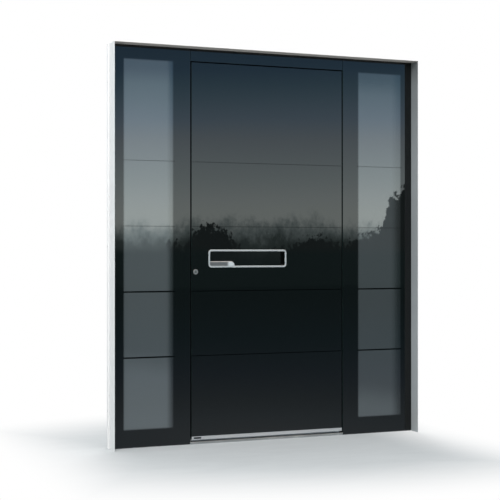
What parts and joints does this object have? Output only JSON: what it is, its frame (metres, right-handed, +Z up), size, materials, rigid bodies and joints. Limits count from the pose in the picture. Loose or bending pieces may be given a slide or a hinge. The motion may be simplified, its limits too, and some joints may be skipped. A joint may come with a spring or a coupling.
{
  "type": "glass entrance door",
  "caption": "Flush black glass entrance door with a recessed bar handle and two glazed sidelights, in its aluminium frame with reveal casing.",
  "frame": {"origin": "on the floor, on the centre line of the leaf, in the middle of the frame depth", "axes": "+X to the right seen from outside, +Y into the building, +Z up"},
  "size_m": [2.092, 0.2382, 2.458],
  "materials": {
    "frame_aluminium": "satin powder coat",
    "leaf_aluminium": "satin powder coat",
    "casing_grey": "matt powder coat",
    "enamelled_glass": "gloss, black enamel behind",
    "clear_glass": "gloss",
    "spacer": "matt",
    "rubber": "matt",
    "plastic": "matt",
    "foam": "matt",
    "stainless": "brushed",
    "cup_black": "satin",
    "dark_plate": "satin",
    "lock_steel": "plain",
    "cylinder_nickel": "satin nickel"
  },
  "bodies": {
    "frame": {"casing_head": "casing_grey", "casing_left": "casing_grey", "casing_right": "casing_grey", "casing_screws": "stainless", "frame_gasket": "rubber", "frame_screws": "stainless", "frame_thermal_bars": "plastic", "glazing_beads": "frame_aluminium", "glazing_gaskets": "rubber", "head_glass": "enamelled_glass", "head_rail": "frame_aluminium", "hinge_frame_halves": "frame_aluminium", "hinge_pins": "stainless", "jamb_left": "frame_aluminium", "jamb_right": "frame_aluminium", "mullion_left": "frame_aluminium", "mullion_right": "frame_aluminium", "setting_blocks": "plastic", "sidelight_inner_panes": "clear_glass", "sidelight_middle_panes": "clear_glass", "sidelight_outer_pane_left": "enamelled_glass", "sidelight_outer_pane_right": "enamelled_glass", "sill_rail_left": "frame_aluminium", "sill_rail_right": "frame_aluminium", "spacer_frames": "spacer", "strike_plates": "stainless", "threshold": "frame_aluminium"},
    "leaf": {"leaf_glass": "enamelled_glass", "leaf_outer_skin": "leaf_aluminium", "leaf_core": "foam", "leaf_inner_skin": "leaf_aluminium", "lock_stile": "leaf_aluminium", "hinge_stile": "leaf_aluminium", "top_rail": "leaf_aluminium", "bottom_rail": "leaf_aluminium", "leaf_thermal_bars": "plastic", "leaf_gasket": "rubber", "bottom_seal": "rubber", "kick_strip": "stainless", "strip_plate": "dark_plate", "handle_rim": "stainless", "handle_cup": "cup_black", "handle_grip": "stainless", "lock_faceplate": "stainless", "lock_case": "lock_steel", "aux_lock_cases": "lock_steel", "cylinder_body": "cylinder_nickel", "cylinder_rosette": "stainless", "inside_roses": "stainless", "hinge_leaf_halves": "leaf_aluminium", "leaf_screws": "stainless"},
    "latch": {"latch_bolt": "stainless"},
    "dead_bolt": {"dead_bolt": "stainless"},
    "upper_bolt": {"upper_bolt": "stainless"},
    "lower_bolt": {"lower_bolt": "stainless"},
    "lever": {"lever_handle": "stainless", "lever_spindle": "stainless"},
    "thumb_turn": {"thumb_turn": "stainless", "lock_cam": "lock_steel"},
    "key_plug": {"key_plug": "cylinder_nickel"}
  },
  "joints": [
    {"name": "leaf_swing", "type": "hinge", "parent": "frame", "child": "leaf", "pos_m": [0.56, 0.0574, 1.2], "axis": [0, 0, -1], "range_deg": [0, 100]},
    {"name": "lever_press", "type": "hinge", "parent": "leaf", "child": "lever", "pos_m": [-0.491, 0.1, 1.158], "axis": [0, 1, 0], "range_deg": [0, 40], "stiffness_Nm_per_rad": 1.2, "springref_deg": -28.65},
    {"name": "latch_slide", "type": "slide", "parent": "leaf", "child": "latch", "axis": [-1, 0, 0], "range_m": [0, 0.012]},
    {"name": "thumb_turn_spin", "type": "hinge", "parent": "leaf", "child": "thumb_turn", "pos_m": [-0.491, 0.08, 1.066], "axis": [0, 1, 0], "range_deg": [0, 360]},
    {"name": "dead_bolt_slide", "type": "slide", "parent": "leaf", "child": "dead_bolt", "axis": [-1, 0, 0], "range_m": [0, 0.02]},
    {"name": "upper_bolt_slide", "type": "slide", "parent": "leaf", "child": "upper_bolt", "axis": [-1, 0, 0], "range_m": [0, 0.02]},
    {"name": "lower_bolt_slide", "type": "slide", "parent": "leaf", "child": "lower_bolt", "axis": [-1, 0, 0], "range_m": [0, 0.02]},
    {"name": "key_plug_spin", "type": "hinge", "parent": "leaf", "child": "key_plug", "pos_m": [-0.491, -0.03, 1.066], "axis": [0, 1, 0], "range_deg": [0, 360]}
  ],
  "couplings": [
    {"joint": "dead_bolt_slide", "follows": "thumb_turn_spin", "m_per_rad": 0.00318},
    {"joint": "upper_bolt_slide", "follows": "thumb_turn_spin", "m_per_rad": 0.00318},
    {"joint": "lower_bolt_slide", "follows": "thumb_turn_spin", "m_per_rad": 0.00318}
  ]
}
